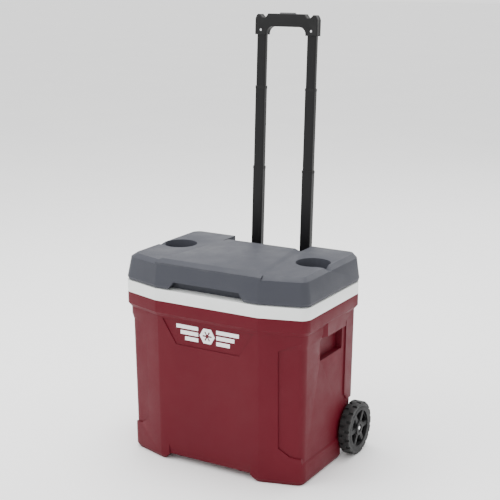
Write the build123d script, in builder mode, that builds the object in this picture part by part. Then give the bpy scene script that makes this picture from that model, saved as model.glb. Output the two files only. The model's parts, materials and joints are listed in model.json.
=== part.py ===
from build123d import *
import os
from math import cos, radians, sin, tan

os.makedirs("parts", exist_ok=True)

# ---------------------------------------------------------------- driving dimensions, mm
# The chest stands on Z = 0 with its front towards -Y. X = 0 is its middle.
rim_half_width = 230.0
rim_front = 155.0
rim_rear = 135.0
facet_half_width = 128.5
facet_depth = 30.0
rim_top = 400.0
rim_height = 26.4
corner_radius = 24.0
facet_radius = 18.0

# Outer shell: insets from the rim outline at each level.
collar_height = 26.6
ledge_drop = 9.0
ledge_inset = 6.8
base_inset = 11.0
foot_chamfer = 5.0
foot_chamfer_height = 9.0
shell_wall = 3.0
recess_depth = 3.4
recess_bottom = 48.0
recess_bottom_ramp = 4.0
recess_below_rim = 78.0
recess_top_ramp = 14.0
recess_front_half = 167.0
recess_corner_width = 24.0
recess_corner_height = 20.0
recess_rear = 74.0
recess_rear_foot = 132.0
recess_rear_slant = 16.0

# Toe recess under the front, and the raised underside behind the axle step.
toe_half_width = 119.0
toe_top_half_width = 105.0
toe_height = 15.0
toe_band_height = 40.0
toe_band_depth = 5.0
toe_depth = 72.0
rear_step_y = 62.0
rear_step_height = 30.0

# Hand grips moulded in both ends.
pocket_middle_y = 7.0
pocket_length = 105.0
pocket_height = 50.0
pocket_below_rim = 88.0
pocket_depth = 16.0
pocket_wall = 3.0
cheek_length = 25.0
cheek_lead = 7.0
pocket_radius = 5.0
block_setback = 1.5
block_root = 12.0
grip_block_height = 33.0

# Inner liner and foam.
liner_wall = 2.5
cavity_top_inset = 33.0
cavity_bottom_inset = 47.0
cavity_floor = 42.0
foam_gap = 0.3

# Front panel and emblem.
panel_top_half = 115.0
panel_bottom_half = 80.0
panel_below_rim = 66.0
panel_height = 55.0
panel_depth = 1.6
emblem_thickness = 1.0
emblem_half_width = 79.0
emblem_height = 34.0
emblem_rise = 3.0
emblem_hexagon = 19.0
emblem_gap = 4.0
emblem_bars = 3
bar_height = 8.6
bar_shortening = 0.2
star_length = 23.0
star_width = 3.4

# Lid.
lid_gap = 2.0
lid_height = 60.5
crown_height = 65.3
lid_edge_inset = 2.0
lid_edge_height = 6.0
lid_draft_inset = 8.0
lid_overhang = 4.0
lid_wall = 3.0
lid_bevel_width = 11.0
lid_bevel_height = 8.0
crown_front_half = 132.0
crown_rear_half = 100.5
crown_ramp = 13.0
notch_half_width = 102.0
notch_front = 84.0
notch_floor_height = 25.0
cup_x = 171.0
cup_y = 11.0
cup_radius = 38.0
cup_depth = 28.0
channel_y = -6.0
channel_top_width = 27.0
channel_bottom_width = 11.0
channel_depth = 9.0
finger_half_width = 96.0
finger_top_half_width = 82.0
finger_height = 17.5
finger_depth = 20.0
plug_depth = 15.0
plug_clearance = 3.5
plate_thickness = 2.5
plate_gap = 0.6
plate_inset = 5.4
plug_draft = 2.0

# Hinges.
hinge_x = 158.0
hinge_width = 46.0
hinge_leaf_height = 30.0
hinge_leaf_thickness = 3.0
body_leaf_thickness = 4.0
leaf_rise = 6.5
screw_radius = 1.7
screw_head_radius = 3.4
screw_head_height = 2.2
hinge_screw_length = 14.0
hinge_barrel_radius = 4.5
hinge_pin_radius = 2.0
hinge_axis_setback = 4.4
hinge_axis_rise = 1.0
knuckle_gap = 0.4
running_clearance = 0.05

# Wheels and axle.
wheel_radius = 61.0
wheel_width = 25.0
wheel_inner_x = 221.5
wheel_y = 106.0
rim_radius = 51.0
rim_band = 10.0
hub_radius = 16.0
hub_recess = 4.0
axle_radius = 4.0
spoke_count = 6
spoke_width = 10.0
spoke_inset = 2.0
web_inset = 4.0
opening_inner_radius = 19.0
opening_inner_half = 2.5
opening_outer_radius = 38.0
opening_outer_half = 14.5
opening_corner = 2.0
tyre_chamfer = 1.5
lug_count = 18
lug_groove_width = 6.0
lug_groove_depth = 4.0
lug_groove_length = 10.0
nut_radius = 7.5
nut_thickness = 2.0
bush_radius = 7.0
bush_flange_radius = 9.0
ear_thickness = 12.0
boss_radius = 12.0
boss_rise = 2.5
wheel_side_play = 0.6

# Telescoping handle, measured along its own leaning axis from the rim's level.
tube_x = 64.5
tube_y = 177.0
tube_lean = 2.55
tube_gap = 0.3
tube_wall = 0.6
inner_tube_width = 22.5
inner_tube_depth = 12.4
tube_corner = 2.5
stage_top = {"outer": 223.0, "middle": 409.0}
stage_length = {"outer": 320.0, "middle": 300.0, "inner": 296.0}
guide_top = -6.0
guide_length = 322.0
guide_wall = 1.5
collar_wall = 0.4
collar_length = 5.0
collar_lip = 1.2
plug_length = 12.0
plug_head = 3.0

# Grip.
grip_half_width = 79.5
grip_socket_width = 29.5
grip_socket_bottom = 526.5
grip_bar_bottom = 545.0
grip_top = 574.0
grip_socket_top = 541.0
grip_depth = 20.0
grip_inner_radius = 16.0
ear_corner = 12.0
ear_half_width = 5.0
notch_drop = 8.5
notch_inner = 46.0
notch_slope = 7.0
button_half_width = 20.0
button_depth = 12.0
button_height = 15.0
button_rise = 2.8
button_clearance = 0.3
button_lip = 2.5
button_base = 3.0
button_corner = 4.0
grip_edge_radius = 2.0
grip_screw_level = 537.0
grip_screw_radius = 1.5
grip_screw_head_radius = 2.8
grip_screw_head_height = 2.0
grip_screw_sink = 0.6
grip_screw_length = 6.0
spring_height = 9.0
spring_radius = 4.0
spring_wire = 0.5
spring_play = 0.1
spring_turns = 5

# Rear cover over the guide tubes.
cover_half_width = 100.0
cover_wall = 3.0
cover_rear_gap = 4.0
cover_corner = 14.0
cover_flange = 14.0
cover_screw_length = 9.5
cover_screw_levels = (92.0, 196.0, 300.0)
fit_gap = 0.3
bracket_height = 12.0
bracket_reach = 90.0
upper_bracket_start = -44.0
cover_bottom = 58.0
cover_below_rim = 12.0

# ---------------------------------------------------------------- derived values
shell_top = rim_top - rim_height
plug_inset = cavity_top_inset + plug_clearance
ledge_top = shell_top - collar_height
ledge_bottom = ledge_top - ledge_drop
lid_bottom = rim_top + lid_gap
recess_top = rim_top - recess_below_rim
pocket_top = rim_top - pocket_below_rim
pocket_bottom = pocket_top - pocket_height
grip_block_bottom = ledge_top - grip_block_height
panel_top = rim_top - panel_below_rim
panel_bottom = panel_top - panel_height
lid_platform = rim_top + lid_height
lid_crown = rim_top + crown_height
lid_rear = rim_rear + lid_overhang
notch_floor = rim_top + notch_floor_height
hinge_axis_y = lid_rear + hinge_axis_setback
hinge_axis_z = rim_top + hinge_axis_rise
cover_top = rim_top - cover_below_rim
side_draft = (base_inset - ledge_inset) / ledge_bottom
handle_axis = (0, sin(radians(tube_lean)), cos(radians(tube_lean)))
handle_plane = Plane(origin=(0, tube_y, rim_top), x_dir=(1, 0, 0), z_dir=handle_axis)
guide_bottom = guide_top - guide_length
hinge_screw_x = hinge_width / 2 - 9
leaf_face_y = lid_rear + hinge_leaf_thickness
body_leaf_face_y = rim_rear + body_leaf_thickness
cover_screw_x = cover_half_width + cover_flange / 2
handle_line = Axis((0, 0, 0), handle_axis)
button_bottom = grip_top + button_rise - button_height
base_top = button_bottom + button_base
spring_seat = button_bottom - spring_height - 2 * (spring_wire + spring_play)
spring_centre = tuple(handle_plane.from_local_coords((0, 0, spring_seat + spring_wire + spring_play)))
ear_face_x = rim_half_width - base_inset + side_draft * wheel_radius - recess_depth
pocket_floor_x = rim_half_width - ledge_inset - recess_depth - pocket_depth
pocket_front_y = pocket_middle_y - pocket_length / 2
pocket_rear_y = pocket_middle_y + pocket_length / 2
block_face_x = rim_half_width - block_setback
toe_front_y = rim_front - base_inset + side_draft * toe_band_height
big = 1000.0


# ---------------------------------------------------------------- shared shapes
def plan_face(z, inset, rear=None):
    """The chest's plan outline at a level: straight ends and back, and a front set forward between facets."""
    corner = rim_front - facet_depth
    back = rim_rear if rear is None else rear + inset
    with BuildSketch(Plane.XY.offset(z)) as plan:
        with BuildLine():
            Polyline(
                (-rim_half_width, back),
                (-rim_half_width, -corner),
                (-facet_half_width, -rim_front),
                (facet_half_width, -rim_front),
                (rim_half_width, -corner),
                (rim_half_width, back),
                close=True,
            )
        make_face()
        if inset:
            offset(amount=-inset, kind=Kind.INTERSECTION)
        ends = plan.vertices().filter_by(lambda v: abs(v.X) > facet_half_width + 20)
        fillet(ends, corner_radius - inset / 3)
        facets = plan.vertices().filter_by(lambda v: abs(v.X) < facet_half_width + 5 and v.Y < 0)
        fillet(facets, facet_radius)
    return plan.sketch


def plan_block(levels, rear=None):
    """A solid through the plan outlines at the given (height, inset) levels."""
    with BuildPart() as block:
        loft(sections=[plan_face(z, inset, rear) for z, inset in levels], ruled=True)
    return block.part


def outer_inset(z):
    """Inset of the chest's drafted outer wall at a height below the ledge."""
    return base_inset - side_draft * z


def screw_group(points, length, clearance):
    """Countersunk screws driven forwards with their heads at (x, y, z) points, or their holes with a clearance."""
    # The last quarter turn keeps the seam lines of the round faces off the walls' corners, which cuts cleanly.
    with BuildPart() as group:
        with Locations(*[Location(point, (-90, 0, 90)) for point in points]):
            Cone(
                screw_radius + clearance,
                screw_head_radius + clearance,
                screw_head_height,
                align=(Align.CENTER, Align.CENTER, Align.MAX),
            )
            Cylinder(
                screw_radius + clearance,
                length,
                align=(Align.CENTER, Align.CENTER, Align.MAX),
            )
    return group.part


def write(piece, label):
    """Label a finished piece and write it as its own STEP file."""
    piece.part.label = label
    export_step(piece.part, f"parts/{label}.step")


def hinge_points(face_y, level):
    """The places of one row of hinge screws, two to a leaf."""
    return [(side * hinge_x + end * hinge_screw_x, face_y, level) for side in (-1, 1) for end in (-1, 1)]


lid_screw_points = hinge_points(leaf_face_y, hinge_axis_z + leaf_rise + hinge_leaf_height / 2)
body_screw_points = hinge_points(body_leaf_face_y, hinge_axis_z - leaf_rise - hinge_leaf_height / 2 - 3)
cover_screw_points = [
    (side * cover_screw_x, rim_rear - outer_inset(z) + fit_gap + cover_wall, z)
    for side in (-1, 1)
    for z in cover_screw_levels
]
lid_screw_holes = screw_group(lid_screw_points, hinge_screw_length, running_clearance)
body_screw_holes = screw_group(body_screw_points, hinge_screw_length, running_clearance)
cover_screw_holes = screw_group(cover_screw_points, cover_screw_length, running_clearance)

# ---------------------------------------------------------------- chest: what the walls are cut from
outer_block = plan_block(
    [
        (0, base_inset + foot_chamfer),
        (foot_chamfer_height, outer_inset(foot_chamfer_height)),
        (ledge_bottom, ledge_inset),
        (ledge_top, 0),
        (shell_top, 0),
    ]
)
recess_core = plan_block(
    [
        (recess_bottom, outer_inset(recess_bottom)),
        (recess_bottom + recess_bottom_ramp, outer_inset(recess_bottom) + recess_depth),
        (recess_top - recess_top_ramp, outer_inset(recess_top) + recess_depth),
        (recess_top, outer_inset(recess_top)),
    ]
)
recess_outer_x = rim_half_width - outer_inset(recess_bottom)
with BuildPart() as recess_cutter:
    with BuildSketch(Plane.XZ.offset(-big / 2)):
        for side in (-1, 1):
            with BuildLine():
                Polyline(
                    (side * recess_front_half, recess_bottom + 1.8 * recess_corner_height),
                    (side * (recess_front_half + recess_corner_width), recess_bottom + 0.9 * recess_corner_height),
                    (side * (recess_outer_x - 6), recess_bottom + 0.7 * recess_corner_height),
                    (side * (recess_outer_x - 4), recess_bottom),
                    (side * big / 2, recess_bottom),
                    (side * big / 2, recess_top),
                    (side * (recess_outer_x - 4), recess_top),
                    (side * recess_front_half, recess_top - recess_corner_height),
                    close=True,
                )
            make_face()
    extrude(amount=big)
    with BuildSketch(Plane.YZ.offset(-big / 2)):
        with BuildLine():
            Polyline(
                (recess_rear, big),
                (recess_rear, recess_rear_foot + recess_rear_slant),
                (recess_rear + recess_rear_slant, recess_rear_foot),
                (big, recess_rear_foot),
                (big, big),
                close=True,
            )
        make_face()
    extrude(amount=big, mode=Mode.SUBTRACT)
    add(recess_core, mode=Mode.SUBTRACT)


def underside_space(wall):
    """The toe recess, the raised rear underside and the axle's channel, each grown by a wall."""
    channel_half = axle_radius + 4 + wall
    step = wall / 2
    with BuildPart() as space:
        with BuildSketch(Plane.XZ.offset(toe_depth - wall)):
            with BuildLine():
                Polyline(
                    (-toe_half_width - toe_height - wall, -toe_height),
                    (-toe_top_half_width - wall, toe_height + wall),
                    (toe_top_half_width + wall, toe_height + wall),
                    (toe_half_width + toe_height + wall, -toe_height),
                    close=True,
                )
            make_face()
        extrude(amount=big)
        with BuildSketch(Plane.YZ.offset(-big / 2)):
            with BuildLine():
                Polyline(
                    (rear_step_y - wall, -big),
                    (rear_step_y - wall, rear_step_height - 6 + step),
                    (rear_step_y + 6 - step, rear_step_height + wall),
                    (big, rear_step_height + wall),
                    (big, -big),
                    close=True,
                )
            make_face()
        extrude(amount=big)
        half_span = big if wall else ear_face_x - ear_thickness
        with BuildSketch(Plane.YZ.offset(-half_span)):
            with BuildLine():
                Polyline(
                    (wheel_y - channel_half, 0),
                    (wheel_y - channel_half, wheel_radius + step),
                    (wheel_y - step, wheel_radius + channel_half),
                    (big, wheel_radius + channel_half),
                    (big, 0),
                    close=True,
                )
            make_face()
        extrude(amount=2 * half_span)
    return space.part


def pocket_boxes(wall):
    """The hand-grip pockets in both ends, grown by a wall."""
    with BuildPart() as boxes:
        for side in (-1, 1):
            with BuildSketch(Plane.YZ.offset(side * (pocket_floor_x - wall))):
                with Locations((pocket_middle_y, (pocket_top + pocket_bottom) / 2)):
                    RectangleRounded(pocket_length + 2 * wall, pocket_height + 2 * wall, pocket_radius + wall)
            extrude(amount=side * big / 2)
    return boxes.part


def axle_bosses(radius):
    """Round bosses in the ears that carry the axle's bushes."""
    with BuildPart() as bosses:
        for side in (-1, 1):
            with BuildSketch(Plane.YZ.offset(side * (ear_face_x - ear_thickness))):
                with Locations((wheel_y, wheel_radius)):
                    Circle(radius)
            extrude(amount=side * (ear_thickness + boss_rise))
    return bosses.part


def wall_space(gap):
    """The hollow between the outer shell and the outside world's pockets, a gap smaller all round."""
    inset = recess_depth + shell_wall + gap
    with BuildPart() as space:
        add(
            plan_block(
                [
                    (shell_wall + gap, base_inset + inset),
                    (ledge_bottom, ledge_inset + inset),
                    (shell_top, ledge_inset + inset),
                ]
            )
        )
        add(underside_space(shell_wall + gap), mode=Mode.SUBTRACT)
        add(pocket_boxes(pocket_wall + gap), mode=Mode.SUBTRACT)
        if gap:
            add(axle_bosses(boss_radius + gap), mode=Mode.SUBTRACT)
    return space.part


# ---------------------------------------------------------------- chest: outer shell
with BuildPart() as outer_shell:
    add(outer_block)
    add(recess_cutter.part, mode=Mode.SUBTRACT)
    for side in (-1, 1):
        with BuildSketch(Plane.XY.offset(grip_block_bottom)):
            with BuildLine():
                Polyline(
                    (side * (block_face_x - block_root), pocket_front_y - cheek_lead),
                    (side * block_face_x, pocket_front_y - cheek_lead + cheek_length),
                    (side * block_face_x, pocket_rear_y),
                    (side * (block_face_x - block_root), pocket_rear_y + block_root),
                    close=True,
                )
            make_face()
        extrude(amount=ledge_top - grip_block_bottom)
    with BuildSketch(Plane.XZ.offset(rim_front)):
        with BuildLine():
            Polyline(
                (-panel_bottom_half, panel_bottom),
                (-panel_top_half, panel_top),
                (panel_top_half, panel_top),
                (panel_bottom_half, panel_bottom),
                close=True,
            )
        make_face()
    extrude(amount=-(outer_inset(panel_bottom) + panel_depth), mode=Mode.SUBTRACT)
    with BuildSketch(Plane.YZ.offset(-toe_top_half_width)):
        with BuildLine():
            Polyline(
                (-toe_front_y, toe_band_height),
                (-toe_front_y + toe_band_depth, toe_height - 1),
                (-rim_front, toe_height - 1),
                (-rim_front, toe_band_height),
                close=True,
            )
        make_face()
    extrude(amount=2 * toe_top_half_width, mode=Mode.SUBTRACT)
    add(wall_space(0), mode=Mode.SUBTRACT)
    add(underside_space(0), mode=Mode.SUBTRACT)
    add(pocket_boxes(0), mode=Mode.SUBTRACT)
    add(axle_bosses(boss_radius))
    with BuildSketch(Plane.YZ.offset(-big / 2)):
        with Locations((wheel_y, wheel_radius)):
            Circle(bush_radius)
    extrude(amount=big, mode=Mode.SUBTRACT)
    add(cover_screw_holes, mode=Mode.SUBTRACT)
write(outer_shell, "outer_shell")

# ---------------------------------------------------------------- chest: liner and foam
liner_outer = plan_block(
    [
        (cavity_floor - liner_wall, cavity_bottom_inset - liner_wall),
        (rim_top, cavity_top_inset - liner_wall),
    ]
)
with BuildPart() as inner_liner:
    add(plan_block([(shell_top, 0), (rim_top, 0)]))
    add(plan_block([(shell_top, shell_wall), (rim_top - liner_wall, shell_wall)]), mode=Mode.SUBTRACT)
    add(liner_outer)
    add(
        plan_block([(cavity_floor, cavity_bottom_inset), (rim_top, cavity_top_inset)]),
        mode=Mode.SUBTRACT,
    )
    add(body_screw_holes, mode=Mode.SUBTRACT)
write(inner_liner, "inner_liner")

with BuildPart() as wall_foam:
    add(wall_space(foam_gap))
    add(
        plan_block(
            [
                (cavity_floor - liner_wall - foam_gap, cavity_bottom_inset - liner_wall - foam_gap),
                (rim_top, cavity_top_inset - liner_wall - foam_gap),
            ]
        ),
        mode=Mode.SUBTRACT,
    )
    add(body_screw_holes, mode=Mode.SUBTRACT)
write(wall_foam, "wall_foam")

# ---------------------------------------------------------------- chest: front emblem
emblem_plane_y = rim_front - outer_inset(panel_bottom) - panel_depth
emblem_middle = (panel_top + panel_bottom) / 2 + emblem_rise
with BuildPart() as front_emblem:
    with BuildSketch(Plane.XZ.offset(emblem_plane_y)):
        with Locations((0, emblem_middle)):
            RegularPolygon(emblem_hexagon, 6)
            with PolarLocations(0, 3, 0):
                Rectangle(star_length, star_width, mode=Mode.SUBTRACT)
        bar_start = emblem_hexagon + emblem_gap
        bar_pitch = (emblem_height - bar_height) / (emblem_bars - 1)
        for side in (-1, 1):
            for bar in range(emblem_bars):
                length = (emblem_half_width - bar_start) * (1 - bar_shortening * bar)
                level = emblem_middle + (emblem_height - bar_height) / 2 - bar_pitch * bar
                with Locations((side * (bar_start + length / 2), level)):
                    Rectangle(length, bar_height)
    extrude(amount=emblem_thickness)
write(front_emblem, "front_emblem")

# ---------------------------------------------------------------- lid
def crown_face(z, side_slope, front_slope, wall):
    """Plan of the raised middle of the lid at a level, narrower at the back."""
    front = rim_front - lid_draft_inset - wall - front_slope
    with BuildSketch(Plane.XY.offset(z)) as crown:
        with BuildLine():
            Polyline(
                (-crown_front_half + side_slope + wall, -front),
                (crown_front_half - side_slope - wall, -front),
                (crown_rear_half - side_slope - wall, notch_front - wall),
                (-crown_rear_half + side_slope + wall, notch_front - wall),
                close=True,
            )
        make_face()
    return crown.sketch


def lid_block(wall):
    """The lid's outer form, or the same a wall smaller for its hollow."""
    top = lid_platform - wall
    crown_top = lid_crown - wall
    crown_slope = lid_bevel_width * (top - crown_top + lid_bevel_height) / lid_bevel_height
    with BuildPart() as block:
        add(
            plan_block(
                [
                    (lid_bottom, lid_edge_inset + wall),
                    (lid_bottom + lid_edge_height, wall),
                    (top - lid_bevel_height, lid_draft_inset + wall),
                    (top, lid_draft_inset + lid_bevel_width + wall),
                ],
                rear=lid_rear - wall,
            )
        )
        loft(
            sections=[
                crown_face(top - lid_bevel_height, 0, 0, wall),
                crown_face(crown_top - lid_bevel_height, 0, 0, wall),
                crown_face(top, 0, crown_slope, wall),
                crown_face(crown_top, crown_ramp, lid_bevel_width, wall),
            ],
            ruled=True,
        )
        with Locations((0, notch_front + big / 2 - wall, notch_floor + big / 2 - wall)):
            Box(2 * (notch_half_width + wall), big, big, mode=Mode.SUBTRACT)
    return block.part


def lid_wells(wall):
    """The cup wells, their drain channels and the finger recess, grown by a wall."""
    with BuildPart() as wells:
        for side in (-1, 1):
            with BuildSketch(Plane.XY.offset(lid_platform - cup_depth - wall)):
                with Locations((side * cup_x, cup_y)):
                    Circle(cup_radius + wall)
            extrude(amount=big / 2)
            channel_bottom = lid_platform - channel_depth - wall
            channel_flare = (channel_top_width - channel_bottom_width) / 2 / channel_depth
            half_bottom = channel_bottom_width / 2 + wall
            half_top = half_bottom + channel_flare * 2 * channel_depth
            with BuildSketch(Plane.YZ.offset(side * cup_x)):
                with BuildLine():
                    Polyline(
                        (channel_y - half_bottom, channel_bottom),
                        (channel_y - half_top, channel_bottom + 2 * channel_depth),
                        (channel_y + half_top, channel_bottom + 2 * channel_depth),
                        (channel_y + half_bottom, channel_bottom),
                        close=True,
                    )
                make_face()
            extrude(amount=side * big / 2)
        with BuildSketch(Plane.XZ.offset(rim_front - finger_depth - wall)):
            with BuildLine():
                Polyline(
                    (-finger_half_width - wall, lid_bottom - 1),
                    (-finger_top_half_width - wall, lid_bottom + finger_height + wall),
                    (finger_top_half_width + wall, lid_bottom + finger_height + wall),
                    (finger_half_width + wall, lid_bottom - 1),
                    close=True,
                )
            make_face()
        extrude(amount=big / 2)
    return wells.part


def lid_space(gap):
    """The lid's hollow, a gap smaller all round."""
    with BuildPart() as space:
        add(lid_block(lid_wall + gap))
        add(lid_wells(lid_wall + gap), mode=Mode.SUBTRACT)
    return space.part


with BuildPart() as lid_shell:
    add(lid_block(0))
    add(lid_space(0), mode=Mode.SUBTRACT)
    add(lid_wells(0), mode=Mode.SUBTRACT)
    add(lid_screw_holes, mode=Mode.SUBTRACT)
write(lid_shell, "lid_shell")

lid_floor = rim_top + plate_gap + plate_thickness
with BuildPart() as lid_liner:
    add(plan_block([(rim_top + plate_gap, plate_inset), (lid_floor, plate_inset)], rear=lid_rear - lid_wall - foam_gap))
    add(lid_wells(lid_wall + foam_gap), mode=Mode.SUBTRACT)
    add(
        plan_block(
            [
                (rim_top - plug_depth, plug_inset + plug_draft),
                (lid_floor, plug_inset),
            ]
        )
    )
    add(
        plan_block(
            [
                (rim_top - plug_depth + plate_thickness, plug_inset + plug_draft + plate_thickness),
                (lid_floor, plug_inset + plate_thickness),
            ]
        ),
        mode=Mode.SUBTRACT,
    )
write(lid_liner, "lid_liner")

with BuildPart() as lid_foam:
    add(lid_space(foam_gap))
    with BuildSketch(Plane.XY.offset(lid_floor + foam_gap)):
        Rectangle(big, big)
    extrude(amount=-big, mode=Mode.SUBTRACT)
    foam_inset = plug_inset + plate_thickness + foam_gap
    add(
        plan_block(
            [
                (rim_top - plug_depth + plate_thickness + foam_gap, foam_inset + plug_draft),
                (lid_floor + foam_gap, foam_inset),
            ]
        )
    )
    add(lid_screw_holes, mode=Mode.SUBTRACT)
write(lid_foam, "lid_foam")

# ---------------------------------------------------------------- hinges
knuckle = hinge_width / 3
for name, side in (("left", -1), ("right", 1)):
    middle = side * hinge_x
    pin_hole = hinge_pin_radius + running_clearance
    with BuildPart() as lid_leaf:
        with Locations((middle, lid_rear, hinge_axis_z + leaf_rise)):
            Box(
                hinge_width,
                hinge_leaf_thickness,
                hinge_leaf_height,
                align=(Align.CENTER, Align.MIN, Align.MIN),
            )
        fillet(lid_leaf.edges().filter_by(Axis.Y), 3)
        with BuildSketch(Plane.YZ.offset(middle - knuckle / 2 + knuckle_gap / 2)):
            with Locations((hinge_axis_y, hinge_axis_z)):
                Circle(hinge_barrel_radius)
            with BuildLine():
                Polyline(
                    (leaf_face_y - hinge_leaf_thickness, hinge_axis_z + leaf_rise + 2),
                    (leaf_face_y - hinge_leaf_thickness, hinge_axis_z + leaf_rise),
                    (hinge_axis_y - hinge_barrel_radius * 0.6, hinge_axis_z + 2),
                    (hinge_axis_y + hinge_barrel_radius, hinge_axis_z),
                    (leaf_face_y, hinge_axis_z + leaf_rise + 2),
                    close=True,
                )
            make_face()
        extrude(amount=knuckle - knuckle_gap)
        with BuildSketch(Plane.YZ.offset(middle - hinge_width)):
            with Locations((hinge_axis_y, hinge_axis_z)):
                Circle(pin_hole)
        extrude(amount=2 * hinge_width, mode=Mode.SUBTRACT)
        add(lid_screw_holes, mode=Mode.SUBTRACT)
    write(lid_leaf, f"hinge_lid_leaf_{name}")

    with BuildPart() as body_leaf:
        with Locations((middle, rim_rear, hinge_axis_z - leaf_rise)):
            Box(
                hinge_width,
                body_leaf_thickness,
                hinge_leaf_height,
                align=(Align.CENTER, Align.MIN, Align.MAX),
            )
        fillet(body_leaf.edges().filter_by(Axis.Y), 3)
        for end in (-1, 1):
            start = middle + end * (knuckle / 2 + knuckle_gap / 2)
            with BuildSketch(Plane.YZ.offset(start)):
                with Locations((hinge_axis_y, hinge_axis_z)):
                    Circle(hinge_barrel_radius)
                with BuildLine():
                    Polyline(
                        (rim_rear + 1, hinge_axis_z - leaf_rise - 3),
                        (rim_rear + 1, hinge_axis_z - leaf_rise),
                        (hinge_axis_y - hinge_barrel_radius * 0.6, hinge_axis_z - 2),
                        (hinge_axis_y + hinge_barrel_radius, hinge_axis_z),
                        (rim_rear + body_leaf_thickness, hinge_axis_z - leaf_rise - 3),
                        close=True,
                    )
                make_face()
            extrude(amount=end * (knuckle - knuckle_gap / 2))
        with BuildSketch(Plane.YZ.offset(middle - hinge_width)):
            with Locations((hinge_axis_y, hinge_axis_z)):
                Circle(pin_hole)
        extrude(amount=2 * hinge_width, mode=Mode.SUBTRACT)
        add(body_screw_holes, mode=Mode.SUBTRACT)
    write(body_leaf, f"hinge_body_leaf_{name}")

    with BuildPart() as hinge_pin:
        with BuildSketch(Plane.YZ.offset(middle - hinge_width / 2)):
            with Locations((hinge_axis_y, hinge_axis_z)):
                Circle(hinge_pin_radius)
        extrude(amount=hinge_width)
    write(hinge_pin, f"hinge_pin_{name}")

with BuildPart() as hinge_lid_screws:
    add(screw_group(lid_screw_points, hinge_screw_length, 0))
write(hinge_lid_screws, "hinge_lid_screws")

with BuildPart() as hinge_body_screws:
    add(screw_group(body_screw_points, hinge_screw_length, 0))
write(hinge_body_screws, "hinge_body_screws")

# ---------------------------------------------------------------- wheels, axle and bushes
hub_outer_x = wheel_inner_x + wheel_width
axle_end = hub_outer_x - hub_recess + nut_thickness + 1.5
with BuildSketch() as opening:
    with BuildLine():
        Polyline(
            (opening_inner_radius, -opening_inner_half),
            (opening_outer_radius, -opening_outer_half),
            (opening_outer_radius, opening_outer_half),
            (opening_inner_radius, opening_inner_half),
            close=True,
        )
    make_face()
    fillet(opening.vertices(), opening_corner)
for name, side in (("left", -1), ("right", 1)):
    wheel_plane = Plane(origin=(side * wheel_inner_x, wheel_y, wheel_radius), x_dir=(0, 1, 0), z_dir=(side, 0, 0))
    with BuildPart() as wheel_rim:
        with BuildSketch(wheel_plane):
            Circle(rim_radius)
            Circle(rim_radius - rim_band, mode=Mode.SUBTRACT)
            Circle(hub_radius)
        extrude(amount=wheel_width)
        with BuildSketch(wheel_plane.offset(spoke_inset)):
            with PolarLocations((rim_radius - rim_band + hub_radius) / 2, spoke_count):
                Rectangle(rim_radius - rim_band - hub_radius + rim_band / 2, spoke_width)
        extrude(amount=wheel_width - 2 * spoke_inset)
        with BuildSketch(wheel_plane.offset(web_inset)):
            Circle(rim_radius - rim_band / 2)
            Circle(hub_radius - 2, mode=Mode.SUBTRACT)
            with PolarLocations(0, spoke_count, 180 / spoke_count):
                add(opening.sketch, mode=Mode.SUBTRACT)
        extrude(amount=wheel_width - 2 * web_inset)
        with BuildSketch(wheel_plane):
            Circle(axle_radius + running_clearance)
        extrude(amount=wheel_width, mode=Mode.SUBTRACT)
        with BuildSketch(wheel_plane.offset(wheel_width - hub_recess)):
            Circle(nut_radius + 1)
        extrude(amount=hub_recess, mode=Mode.SUBTRACT)
    write(wheel_rim, f"wheel_{name}_rim")

    with BuildPart() as wheel_tyre:
        with BuildSketch(wheel_plane):
            Circle(wheel_radius)
            Circle(rim_radius, mode=Mode.SUBTRACT)
        extrude(amount=wheel_width)
        outer_edges = wheel_tyre.edges().filter_by(GeomType.CIRCLE).filter_by(
            lambda e: e.radius > wheel_radius - 1
        )
        chamfer(outer_edges, tyre_chamfer)
        for start, turn in ((0, 0), (wheel_width - lug_groove_length, 180 / lug_count)):
            with BuildSketch(wheel_plane.offset(start)):
                with PolarLocations(wheel_radius, lug_count, turn):
                    Rectangle(2 * lug_groove_depth, lug_groove_width)
            extrude(amount=lug_groove_length, mode=Mode.SUBTRACT)
    write(wheel_tyre, f"wheel_{name}_tyre")

    with BuildPart() as axle_bush:
        with BuildSketch(wheel_plane.offset(ear_face_x + boss_rise - wheel_inner_x)):
            Circle(bush_flange_radius)
        extrude(amount=wheel_inner_x - wheel_side_play - ear_face_x - boss_rise)
        with BuildSketch(wheel_plane.offset(ear_face_x - ear_thickness - wheel_inner_x)):
            Circle(bush_radius - running_clearance)
        extrude(amount=ear_thickness + boss_rise)
        with BuildSketch(wheel_plane.offset(-wheel_inner_x)):
            Circle(axle_radius + running_clearance)
        extrude(amount=wheel_inner_x, mode=Mode.SUBTRACT)
    write(axle_bush, f"axle_bush_{name}")

    with BuildPart() as push_nut:
        with BuildSketch(wheel_plane.offset(wheel_width - hub_recess + wheel_side_play)):
            Circle(nut_radius)
            Circle(axle_radius + running_clearance, mode=Mode.SUBTRACT)
        extrude(amount=nut_thickness)
    write(push_nut, f"push_nut_{name}")

with BuildPart() as axle:
    with BuildSketch(Plane.YZ.offset(-axle_end)):
        with Locations((wheel_y, wheel_radius)):
            Circle(axle_radius)
    extrude(amount=2 * axle_end)
    chamfer(axle.edges().filter_by(GeomType.CIRCLE), 0.8)
write(axle, "axle")

# ---------------------------------------------------------------- telescoping handle
def tube_size(stage):
    """Outside width and depth of a stage: each is one wall and one gap larger than the one inside it."""
    order = ["inner", "middle", "outer", "guide"].index(stage)
    step = 2 * (tube_wall + tube_gap) * order
    return inner_tube_width + step, inner_tube_depth + step


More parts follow.
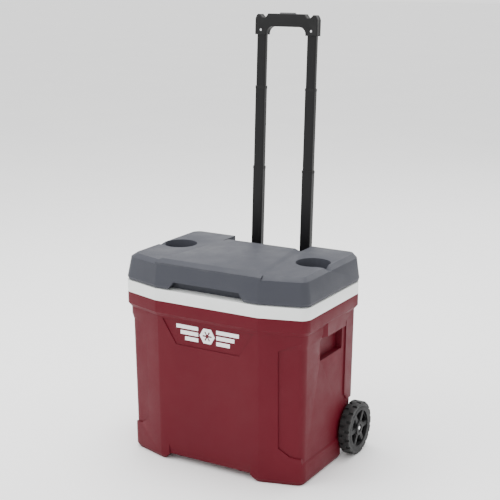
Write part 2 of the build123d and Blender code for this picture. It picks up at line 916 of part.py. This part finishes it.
def tube_pair(label, bottom, length, size, wall, holes=None):
    """Two equal rectangular tubes along the handle's axis, one node for each."""
    width, depth = size
    for name, side in (("left", -1), ("right", 1)):
        with BuildPart() as tube:
            with BuildSketch(handle_plane.offset(bottom)):
                with Locations((side * tube_x, 0)):
                    RectangleRounded(width, depth, tube_corner)
                    RectangleRounded(width - 2 * wall, depth - 2 * wall, tube_corner - wall, mode=Mode.SUBTRACT)
            extrude(amount=length)
            if holes:
                add(holes, mode=Mode.SUBTRACT)
        write(tube, f"{label}_{name}")


def collar_pair(label, top, outer, inner):
    """Plastic collars round the tubes' top ends, with a lip that guides the next tube."""
    with BuildPart() as collars:
        for side in (-1, 1):
            with BuildSketch(handle_plane.offset(top - collar_length)):
                with Locations((side * tube_x, 0)):
                    RectangleRounded(outer[0] + 2 * collar_wall, outer[1] + 2 * collar_wall, tube_corner)
                    RectangleRounded(outer[0], outer[1], tube_corner, mode=Mode.SUBTRACT)
            extrude(amount=collar_length)
            with BuildSketch(handle_plane.offset(top)):
                with Locations((side * tube_x, 0)):
                    RectangleRounded(outer[0] + 2 * collar_wall, outer[1] + 2 * collar_wall, tube_corner)
                    RectangleRounded(inner[0] + 2 * tube_gap, inner[1] + 2 * tube_gap, tube_corner, mode=Mode.SUBTRACT)
            extrude(amount=collar_lip)
    write(collars, label)


def plug_pair(label, bottom, size, wall):
    """Plastic plugs in the tubes' lower ends, whose heads slide inside the next larger tubes."""
    with BuildPart() as plugs:
        for side in (-1, 1):
            with BuildSketch(handle_plane.offset(bottom)):
                with Locations((side * tube_x, 0)):
                    RectangleRounded(size[0] - 2 * wall, size[1] - 2 * wall, tube_corner - wall)
            extrude(amount=plug_length)
            with BuildSketch(handle_plane.offset(bottom - plug_head)):
                with Locations((side * tube_x, 0)):
                    RectangleRounded(size[0], size[1], tube_corner)
            extrude(amount=plug_head)
    write(plugs, label)


def grip_screw_group(clearance):
    """The two screws that hold the grip on the inner tubes from the front, or their holes with a clearance."""
    seat = grip_depth / 2 - grip_screw_sink
    with BuildPart() as group:
        for side in (-1, 1):
            with BuildSketch(grip_plane.offset(seat - grip_screw_head_height)):
                with Locations((side * tube_x, grip_screw_level)):
                    Circle(grip_screw_head_radius + clearance)
            extrude(amount=grip_screw_head_height + (grip_screw_sink if clearance else 0))
            with BuildSketch(grip_plane.offset(seat - grip_screw_length)):
                with Locations((side * tube_x, grip_screw_level)):
                    Circle(grip_screw_radius + clearance)
            extrude(amount=grip_screw_length)
    return group.part


grip_plane = Plane(origin=handle_plane.origin, x_dir=(1, 0, 0), z_dir=handle_plane.y_dir * -1)
grip_screw_holes = grip_screw_group(running_clearance)
guide_size = [size + 2 * (tube_gap + guide_wall) for size in tube_size("outer")]
tube_pair("guide_tube", guide_bottom, guide_length, guide_size, guide_wall)
collar_pair("guide_collars", guide_top, guide_size, tube_size("outer"))
inner_bottom = grip_socket_top - stage_length["inner"]
for stage, inside in (("outer", "middle"), ("middle", "inner")):
    top = stage_top[stage]
    bottom = top - stage_length[stage]
    tube_pair(f"{stage}_tube", bottom, stage_length[stage], tube_size(stage), tube_wall)
    collar_pair(f"{stage}_collars", top, tube_size(stage), tube_size(inside))
    plug_pair(f"{stage}_plugs", bottom, tube_size(stage), tube_wall)
tube_pair("inner_tube", inner_bottom, stage_length["inner"], tube_size("inner"), tube_wall, grip_screw_holes)
plug_pair("inner_plugs", inner_bottom, tube_size("inner"), tube_wall)

# ---------------------------------------------------------------- grip, button and spring
def along_handle(x, distance, length, size, radius):
    """A rounded rectangular block centred at x, from a distance along the handle's axis."""
    with BuildPart() as block:
        with BuildSketch(handle_plane.offset(distance)):
            with Locations(*[(place, 0) for place in x]):
                RectangleRounded(size[0], size[1], radius)
        extrude(amount=length)
    return block.part


socket_inner = grip_half_width - grip_socket_width
ear_middle = grip_half_width - ear_corner / 2 - ear_half_width / 2
grip_shoulder = [
    (grip_half_width, grip_top - ear_corner),
    (grip_half_width - ear_corner / 4, grip_top - ear_corner / 2.5),
    (ear_middle + ear_half_width / 2, grip_top - 1.5),
    (ear_middle - ear_half_width / 2, grip_top - 1.5),
    (ear_middle - ear_half_width / 2 - notch_slope, grip_top - notch_drop),
    (notch_inner + notch_slope, grip_top - notch_drop),
    (notch_inner, grip_top),
]
with BuildPart() as grip_block:
    with BuildSketch(grip_plane.offset(-grip_depth / 2)):
        with BuildLine():
            Polyline(
                (-grip_half_width, grip_socket_bottom),
                *[(-x, y) for x, y in grip_shoulder],
                *reversed(grip_shoulder),
                (grip_half_width, grip_socket_bottom),
                (socket_inner, grip_socket_bottom),
                (socket_inner, grip_bar_bottom),
                (-socket_inner, grip_bar_bottom),
                (-socket_inner, grip_socket_bottom),
                close=True,
            )
        make_face()
    extrude(amount=grip_depth)
    inner_edges = grip_block.edges().filter_by(Axis((0, 0, 0), tuple(grip_plane.z_dir))).filter_by(
        lambda e: abs(abs(e.center().X) - socket_inner) < 1
        and grip_plane.to_local_coords(e.center()).Y > grip_bar_bottom - 1
    )
    fillet(inner_edges, grip_inner_radius)
    rims = grip_block.faces().filter_by(Axis((0, 0, 0), tuple(grip_plane.z_dir)))
    fillet(rims.edges(), grip_edge_radius)
    add(
        along_handle(
            (-tube_x, tube_x),
            grip_socket_bottom - 1,
            grip_socket_top - grip_socket_bottom + 1 + running_clearance,
            [size + 2 * running_clearance for size in tube_size("inner")],
            tube_corner,
        ),
        mode=Mode.SUBTRACT,
    )
    button_pocket = [2 * button_half_width + 2 * button_clearance, button_depth + 2 * button_clearance]
    base_pocket = [button_pocket[0] + 2 * button_lip, button_pocket[1]]
    add(
        along_handle((0,), spring_seat, base_top + button_clearance - spring_seat, base_pocket, 2),
        mode=Mode.SUBTRACT,
    )
    add(along_handle((0,), spring_seat, big, button_pocket, button_corner), mode=Mode.SUBTRACT)
    add(grip_screw_holes, mode=Mode.SUBTRACT)
for name, keep in (("front", Keep.TOP), ("rear", Keep.BOTTOM)):
    with BuildPart() as grip_half:
        add(grip_block.part)
        split(bisect_by=grip_plane, keep=keep)
    write(grip_half, f"grip_{name}")

with BuildPart() as grip_screws:
    add(grip_screw_group(0))
write(grip_screws, "grip_screws")

with BuildPart() as release_button:
    with BuildSketch(handle_plane.offset(button_bottom)):
        RectangleRounded(2 * button_half_width, button_depth, button_corner)
    extrude(amount=button_height)
    fillet(release_button.faces().sort_by(handle_line)[-1].edges(), button_corner - 0.5)
    with BuildSketch(handle_plane.offset(button_bottom)):
        RectangleRounded(2 * (button_half_width + button_lip), button_depth, 2)
    extrude(amount=base_top - button_bottom)
write(release_button, "release_button")

with BuildPart() as button_spring:
    with BuildLine() as coil:
        Helix(
            pitch=spring_height / spring_turns,
            height=spring_height,
            radius=spring_radius,
            center=spring_centre,
            direction=handle_axis,
        )
    with BuildSketch(Plane(origin=coil.line @ 0, z_dir=coil.line % 0)):
        Circle(spring_wire)
    sweep()
write(button_spring, "button_spring")

# ---------------------------------------------------------------- rear cover and tube brackets
def rear_seat(gap):
    """What the chest's flat rear wall takes from a piece that is fitted against it, grown by a gap."""
    with BuildPart() as seat:
        with BuildSketch(Plane.YZ.offset(-big / 2)):
            with BuildLine():
                Polyline(
                    (-big, 0),
                    (rear_wall_y(0) + gap, 0),
                    (rear_wall_y(ledge_bottom) + gap, ledge_bottom),
                    (rim_rear + gap, ledge_top),
                    (rim_rear + gap, big),
                    (-big, big),
                    close=True,
                )
            make_face()
        extrude(amount=big)
    return seat.part


def rear_wall_y(z):
    """Where the chest's drafted rear wall stands at a height."""
    return rim_rear - outer_inset(z)


def cover_core(wall):
    """The rear cover's outside, or its hollow one wall smaller, leaning with the tubes."""
    bottom, top = cover_bottom + wall, cover_top - wall
    half_width = cover_half_width - wall
    with BuildPart() as core:
        with BuildSketch(Plane.YZ.offset(-half_width)):
            with BuildLine():
                Polyline(
                    (0, bottom),
                    (cover_rear_y(bottom) - wall, bottom),
                    (cover_rear_y(top) - wall, top),
                    (0, top),
                    close=True,
                )
            make_face()
        extrude(amount=2 * half_width)
        back = core.faces().sort_by(Axis.Y)[-1]
        upright = back.edges().filter_by(lambda e: abs(e.center().X) > half_width - 1)
        fillet(upright, cover_corner - wall)
    return core.part


def cover_rear_y(z):
    """Where the cover's outside stands at a height, a wall and a gap behind the guide tubes."""
    middle = tube_y + (z - rim_top) * tan(radians(tube_lean))
    return middle + guide_size[1] / 2 + cover_rear_gap + cover_wall


with BuildPart() as rear_cover:
    add(cover_core(0))
    flange_top = ledge_bottom - cover_wall
    with BuildSketch(Plane.YZ.offset(-cover_half_width - cover_flange)):
        with BuildLine():
            Polyline(
                (rear_wall_y(cover_bottom), cover_bottom),
                (rear_wall_y(cover_bottom) + fit_gap + cover_wall, cover_bottom),
                (rear_wall_y(flange_top) + fit_gap + cover_wall, flange_top),
                (rear_wall_y(flange_top), flange_top),
                close=True,
            )
        make_face()
    extrude(amount=2 * (cover_half_width + cover_flange))
    add(cover_core(cover_wall), mode=Mode.SUBTRACT)
    add(rear_seat(fit_gap), mode=Mode.SUBTRACT)
    collar_size = [size + 2 * (collar_wall + fit_gap) for size in guide_size]
    add(
        along_handle((-tube_x, tube_x), guide_top - collar_length - 6, big, collar_size, tube_corner),
        mode=Mode.SUBTRACT,
    )
    add(cover_screw_holes, mode=Mode.SUBTRACT)
write(rear_cover, "rear_cover")

with BuildPart() as cover_screws:
    add(screw_group(cover_screw_points, cover_screw_length, 0))
write(cover_screws, "cover_screws")

for label, start, through in (
    ("upper_tube_bracket", upper_bracket_start, True),
    ("lower_tube_bracket", guide_bottom - bracket_height / 2, False),
):
    with BuildPart() as bracket:
        with BuildSketch(handle_plane.offset(start)):
            with Locations((0, (guide_size[1] / 2 + cover_rear_gap - fit_gap) - bracket_reach / 2)):
                Rectangle(2 * (cover_half_width - cover_wall - cover_corner), bracket_reach)
        extrude(amount=bracket_height)
        add(rear_seat(fit_gap), mode=Mode.SUBTRACT)
        add(
            along_handle(
                (-tube_x, tube_x),
                start - 1 if through else guide_bottom,
                big,
                [size + 2 * running_clearance for size in guide_size],
                tube_corner,
            ),
            mode=Mode.SUBTRACT,
        )
    write(bracket, label)
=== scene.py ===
import json
import math

import bmesh
import bpy
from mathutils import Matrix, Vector


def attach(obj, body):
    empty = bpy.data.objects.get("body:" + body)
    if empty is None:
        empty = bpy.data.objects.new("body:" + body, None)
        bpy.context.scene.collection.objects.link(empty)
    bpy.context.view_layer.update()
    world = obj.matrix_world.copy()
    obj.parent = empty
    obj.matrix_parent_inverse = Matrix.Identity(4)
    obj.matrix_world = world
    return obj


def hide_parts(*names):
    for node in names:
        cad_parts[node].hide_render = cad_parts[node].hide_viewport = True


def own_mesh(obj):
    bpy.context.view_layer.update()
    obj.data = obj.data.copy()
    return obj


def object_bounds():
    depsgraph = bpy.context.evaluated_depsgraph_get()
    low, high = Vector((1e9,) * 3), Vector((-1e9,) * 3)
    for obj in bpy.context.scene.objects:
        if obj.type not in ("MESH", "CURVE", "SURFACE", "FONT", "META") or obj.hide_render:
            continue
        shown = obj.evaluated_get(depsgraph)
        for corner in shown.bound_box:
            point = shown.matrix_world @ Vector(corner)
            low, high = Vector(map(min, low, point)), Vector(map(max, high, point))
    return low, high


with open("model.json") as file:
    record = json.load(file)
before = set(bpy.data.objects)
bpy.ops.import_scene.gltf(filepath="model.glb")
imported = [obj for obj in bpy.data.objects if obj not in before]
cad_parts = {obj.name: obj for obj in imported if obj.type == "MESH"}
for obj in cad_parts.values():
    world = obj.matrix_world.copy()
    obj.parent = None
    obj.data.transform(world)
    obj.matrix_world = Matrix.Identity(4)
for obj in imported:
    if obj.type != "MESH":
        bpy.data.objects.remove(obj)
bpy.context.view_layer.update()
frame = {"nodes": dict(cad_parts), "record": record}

# ---------------------------------------------------------------- materials
class Shader:
    """A material's node tree, built a node at a time."""

    def __init__(self, name):
        self.material = bpy.data.materials.new(name)
        self.material.use_nodes = True
        self.tree = self.material.node_tree
        self.shader = self.tree.nodes["Principled BSDF"]
        self.coords = self.add("ShaderNodeTexCoord").outputs["Object"]

    def add(self, kind, **settings):
        node = self.tree.nodes.new(kind)
        for key, value in settings.items():
            if key in node.inputs:
                node.inputs[key].default_value = value
            else:
                setattr(node, key, value)
        return node

    def link(self, output, target):
        self.tree.links.new(output, target)

    def scaled(self, factors):
        """The object coordinates, stretched by a factor along each axis."""
        mapping = self.add("ShaderNodeMapping")
        mapping.inputs["Scale"].default_value = factors
        self.link(self.coords, mapping.inputs["Vector"])
        return mapping.outputs["Vector"]

    def noise(self, scale, detail=3.0, roughness=0.5, vector=None):
        node = self.add("ShaderNodeTexNoise", Scale=scale, Detail=detail, Roughness=roughness)
        self.link(vector or self.coords, node.inputs["Vector"])
        return node.outputs["Fac"]

    def remap(self, value, low, high, to_low, to_high):
        node = self.add("ShaderNodeMapRange")
        node.inputs["From Min"].default_value = low
        node.inputs["From Max"].default_value = high
        node.inputs["To Min"].default_value = to_low
        node.inputs["To Max"].default_value = to_high
        self.link(value, node.inputs["Value"])
        return node.outputs["Result"]

    def blend(self, factor, first, second):
        """A colour that goes from first to second by factor. Each is a colour or a socket."""
        node = self.add("ShaderNodeMix", data_type="RGBA")
        self.link(factor, node.inputs["Factor"])
        for socket, colour in ((node.inputs[6], first), (node.inputs[7], second)):
            if isinstance(colour, bpy.types.NodeSocket):
                self.link(colour, socket)
            else:
                socket.default_value = (*colour, 1.0)
        return node.outputs[2]

    def combine(self, operation, first, second):
        node = self.add("ShaderNodeMath", operation=operation)
        for socket, value in zip(node.inputs, (first, second)):
            if isinstance(value, bpy.types.NodeSocket):
                self.link(value, socket)
            else:
                socket.default_value = value
        return node.outputs[0]

    def bump(self, height, distance, strength=1.0, previous=None):
        node = self.add("ShaderNodeBump", Strength=strength, Distance=distance)
        self.link(height, node.inputs["Height"])
        if previous is not None:
            self.link(previous, node.inputs["Normal"])
        return node.outputs["Normal"]


def moulded_plastic(name, colour, worn, roughness, grain, grain_depth, specular=0.5, sheen=0.0):
    """Moulded plastic: fine pebbled grain, faint flow marks in the colour, and edges rubbed a little paler,
    partly as wear and partly as a painted highlight along the edges.
    """
    m = Shader(name)
    flow = m.noise(7.0, detail=4.0, vector=m.scaled((1.0, 1.0, 0.45)))
    base = m.blend(m.remap(flow, 0.3, 0.7, 0.0, 0.16), colour, worn)
    # Convex edges, found by pointiness, are painted towards the worn colour: partly rubbed wear, partly a
    # painted highlight along the edges.
    edge = m.add("ShaderNodeNewGeometry").outputs["Pointiness"]
    rubbed_and_highlit_edges = m.remap(edge, 0.52, 0.60, 0.0, 0.35)
    patches = m.remap(m.noise(38.0, detail=5.0, roughness=0.65), 0.42, 0.62, 0.15, 1.0)
    m.link(m.blend(m.combine("MULTIPLY", rubbed_and_highlit_edges, patches), base, worn), m.shader.inputs["Base Color"])
    smudge = m.noise(22.0, detail=5.0, roughness=0.6)
    m.link(m.remap(smudge, 0.3, 0.7, roughness - 0.06, roughness + 0.07), m.shader.inputs["Roughness"])
    pebble = m.add("ShaderNodeTexVoronoi", Scale=grain, Randomness=1.0)
    m.link(m.coords, pebble.inputs["Vector"])
    fine = m.bump(pebble.outputs["Distance"], grain_depth)
    wave = m.bump(m.noise(9.0, detail=2.0), 0.0006, strength=0.5, previous=fine)
    m.link(wave, m.shader.inputs["Normal"])
    m.shader.inputs["Specular IOR Level"].default_value = specular
    m.shader.inputs["Sheen Weight"].default_value = sheen
    return m.material


def painted_tube(name, colour, worn):
    """Black-coated aluminium tube with faint drawn lines along its length and sliding scratches."""
    m = Shader(name)
    drawn = m.noise(900.0, detail=2.0, vector=m.scaled((1.0, 1.0, 0.012)))
    scratches = m.noise(260.0, detail=6.0, roughness=0.75, vector=m.scaled((1.0, 1.0, 0.03)))
    marks = m.remap(scratches, 0.60, 0.72, 0.0, 0.35)
    m.link(m.blend(marks, colour, worn), m.shader.inputs["Base Color"])
    m.link(m.remap(drawn, 0.3, 0.7, 0.30, 0.42), m.shader.inputs["Roughness"])
    m.link(m.bump(drawn, 0.00004, strength=0.6), m.shader.inputs["Normal"])
    m.shader.inputs["Metallic"].default_value = 0.1
    m.shader.inputs["Specular IOR Level"].default_value = 0.25
    return m.material


def rubber(name, colour, dust):
    """Tread rubber: matt, slightly rough, with pale dust in patches."""
    m = Shader(name)
    patches = m.remap(m.noise(60.0, detail=6.0, roughness=0.7), 0.45, 0.75, 0.0, 0.35)
    m.link(m.blend(patches, colour, dust), m.shader.inputs["Base Color"])
    m.link(m.remap(m.noise(45.0), 0.3, 0.7, 0.62, 0.78), m.shader.inputs["Roughness"])
    m.link(m.bump(m.noise(700.0, detail=3.0), 0.00012, strength=0.8), m.shader.inputs["Normal"])
    return m.material


def steel(name, colour, along):
    """Bright steel with fine turned or drawn lines along one axis."""
    m = Shader(name)
    stretch = [1.0, 1.0, 1.0]
    stretch[along] = 0.02
    lines = m.noise(1400.0, detail=3.0, vector=m.scaled(stretch))
    dull = m.noise(90.0, detail=4.0)
    dulled = [channel * 0.7 for channel in colour]
    m.link(m.blend(m.remap(dull, 0.35, 0.7, 0.0, 0.4), colour, dulled), m.shader.inputs["Base Color"])
    m.link(m.remap(lines, 0.3, 0.7, 0.2, 0.36), m.shader.inputs["Roughness"])
    m.link(m.bump(lines, 0.00003, strength=0.7), m.shader.inputs["Normal"])
    m.shader.inputs["Metallic"].default_value = 1.0
    return m.material


def foam(name, colour, shade):
    """Rigid foam with small closed cells."""
    m = Shader(name)
    cells = m.add("ShaderNodeTexVoronoi", Scale=650.0)
    m.link(m.coords, cells.inputs["Vector"])
    m.link(m.blend(cells.outputs["Distance"], colour, shade), m.shader.inputs["Base Color"])
    m.link(m.bump(cells.outputs["Distance"], 0.0003), m.shader.inputs["Normal"])
    m.shader.inputs["Roughness"].default_value = 0.9
    return m.material


RED = moulded_plastic(
    "red_polyethylene", (0.080, 0.0015, 0.0075), (0.12, 0.008, 0.016),
    0.52, 900.0, 0.00010, specular=0.16,
)
WHITE = moulded_plastic("white_polyethylene", (0.74, 0.76, 0.75), (0.62, 0.63, 0.60), 0.38, 1100.0, 0.00004)
GREY = moulded_plastic(
    "grey_polyethylene", (0.034, 0.036, 0.046), (0.062, 0.065, 0.073),
    0.54, 850.0, 0.00012, specular=0.24,
)
EMBLEM = moulded_plastic("emblem_white", (0.80, 0.80, 0.80), (0.70, 0.70, 0.70), 0.30, 1300.0, 0.00002)
BLACK = moulded_plastic(
    "black_nylon", (0.0045, 0.0045, 0.005), (0.014, 0.014, 0.014),
    0.55, 1000.0, 0.00010, specular=0.22,
)
BUTTON = moulded_plastic(
    "button_plastic", (0.024, 0.024, 0.026), (0.05, 0.05, 0.05),
    0.45, 1000.0, 0.00006, specular=0.35,
)
TUBE = painted_tube("black_coated_aluminium", (0.004, 0.004, 0.0045), (0.022, 0.022, 0.022))
TREAD = rubber("tread_rubber", (0.007, 0.007, 0.007), (0.022, 0.021, 0.020))
STEEL = steel("bright_steel", (0.70, 0.70, 0.71), 0)
FOAM = foam("cream_foam", (0.80, 0.72, 0.50), (0.62, 0.54, 0.34))

BY_SLOT = {
    "shell_red": RED,
    "liner_white": WHITE,
    "lid_grey": GREY,
    "emblem_white": EMBLEM,
    "foam_cream": FOAM,
    "tube_black": TUBE,
    "grip_black": BLACK,
    "collar_black": BLACK,
    "wheel_black": BLACK,
    "tread_black": TREAD,
    "steel": STEEL,
    "button_grey": BUTTON,
    "nut_black": TUBE,
}
SLOT_OF = {entry["node"]: entry["material_slot"] for entry in frame["record"]["subparts"]}
BODY_OF = {node: body for body, nodes in frame["record"]["behaviour"]["bodies"].items() for node in nodes}


def dress(obj, material):
    """The one material on every slot of an object."""
    if not obj.material_slots:
        obj.data.materials.append(material)
    for entry in obj.material_slots:
        entry.material = material


for node_name, node_object in frame["nodes"].items():
    dress(node_object, BY_SLOT[SLOT_OF[node_name]])


JOIN_DISTANCE = 1e-6
FLAT_ANGLE = 0.6  # degrees between faces that count as one flat face

# ---------------------------------------------------------------- moulded edges
def standing_for(node, piece):
    """The piece takes a CAD node's place, material, slot and body."""
    bpy.context.scene.collection.objects.link(piece)
    piece.matrix_world = frame["nodes"][node].matrix_world.copy()
    dress(piece, BY_SLOT[SLOT_OF[node]])
    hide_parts(node)
    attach(piece, BODY_OF[node])


def softened(node, name, width, segments=3, angle=24.0):
    """A copy of a CAD node with its flat faces joined and its edges rounded, standing for the node."""
    mesh = frame["nodes"][node].data.copy()
    mesh.name = name
    bm = bmesh.new()
    bm.from_mesh(mesh)
    bmesh.ops.remove_doubles(bm, verts=bm.verts, dist=JOIN_DISTANCE)
    bmesh.ops.dissolve_limit(bm, angle_limit=math.radians(FLAT_ANGLE), verts=bm.verts, edges=bm.edges)
    bm.to_mesh(mesh)
    bm.free()
    piece = bpy.data.objects.new(name, mesh)
    bevel = piece.modifiers.new("edges", "BEVEL")
    bevel.width = width
    bevel.segments = segments
    bevel.limit_method = "ANGLE"
    bevel.angle_limit = math.radians(angle)
    bevel.harden_normals = True
    bevel.use_clamp_overlap = True
    for polygon in mesh.polygons:
        polygon.use_smooth = True
    standing_for(node, piece)


softened("outer_shell", "moulded_shell", 0.0016)
softened("inner_liner", "moulded_liner", 0.0012)
softened("lid_shell", "moulded_lid", 0.0022)
softened("rear_cover", "moulded_rear_cover", 0.0014)
for half in ("front", "rear"):
    softened(f"grip_{half}", f"moulded_grip_{half}", 0.0006)
for side in ("left", "right"):
    softened(f"wheel_{side}_rim", f"moulded_rim_{side}", 0.0007)
    softened(f"wheel_{side}_tyre", f"moulded_tread_{side}", 0.0006)


def button_coil():
    """The coil under the release button: a copy of the CAD node with a mesh of its own, standing for the node.
    """
    mesh = frame["nodes"]["button_spring"].data.copy()
    mesh.name = "button_coil"
    piece = bpy.data.objects.new("button_coil", mesh)
    standing_for("button_spring", piece)
    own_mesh(piece)


button_coil()

# ---------------------------------------------------------------- floor, light and camera
low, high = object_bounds()
centre = (Vector(low) + Vector(high)) / 2
FLOOR_SIZE = 60.0


def studio_floor():
    """A pale floor, wide enough to meet the pale background far behind the object."""
    bpy.ops.mesh.primitive_plane_add(size=FLOOR_SIZE, location=(0.0, 0.0, low[2]))
    floor = bpy.context.object
    floor.name = "floor"
    m = Shader("pale_floor")
    m.link(
        m.blend(m.remap(m.noise(1.5), 0.3, 0.7, 0.0, 1.0), (0.92, 0.92, 0.92), (0.94, 0.94, 0.935)),
        m.shader.inputs["Base Color"],
    )
    m.shader.inputs["Roughness"].default_value = 0.85
    m.shader.inputs["Specular IOR Level"].default_value = 0.1
    dress(floor, m.material)


def soft_light(name, position, size, power):
    """A large soft light aimed at the object's middle."""
    data = bpy.data.lights.new(name, "AREA")
    data.shape = "DISK"
    data.size = size
    data.energy = power
    lamp = bpy.data.objects.new(name, data)
    lamp.location = position
    lamp.rotation_euler = (centre - Vector(position)).to_track_quat("-Z", "Y").to_euler()
    bpy.context.scene.collection.objects.link(lamp)


studio_floor()
soft_light("key", (-2.0, -2.4, 3.0), 2.2, 48.0)
soft_light("top", (-0.4, 0.2, 3.0), 2.2, 100.0)
soft_light("back", (0.8, 3.2, 2.2), 2.2, 30.0)

world = bpy.data.worlds.new("studio")
world.use_nodes = True
world.node_tree.nodes["Background"].inputs["Color"].default_value = (1.0, 1.0, 1.0, 1.0)
world.node_tree.nodes["Background"].inputs["Strength"].default_value = 1.6
bpy.context.scene.world = world

CAMERA_PLACE = Vector((1.26136, -2.10698, 1.08251))
CAMERA_AIM = Vector((0.01994, 0.0, 0.47119))
CAMERA_LENS = 82.43
camera_data = bpy.data.cameras.new("camera")
camera_data.lens = CAMERA_LENS
camera_data.sensor_width = 36.0
camera_data.clip_start = 0.05
camera = bpy.data.objects.new("camera", camera_data)
camera.location = CAMERA_PLACE
camera.rotation_euler = (CAMERA_AIM - CAMERA_PLACE).to_track_quat("-Z", "Y").to_euler()
bpy.context.scene.collection.objects.link(camera)
bpy.context.scene.camera = camera
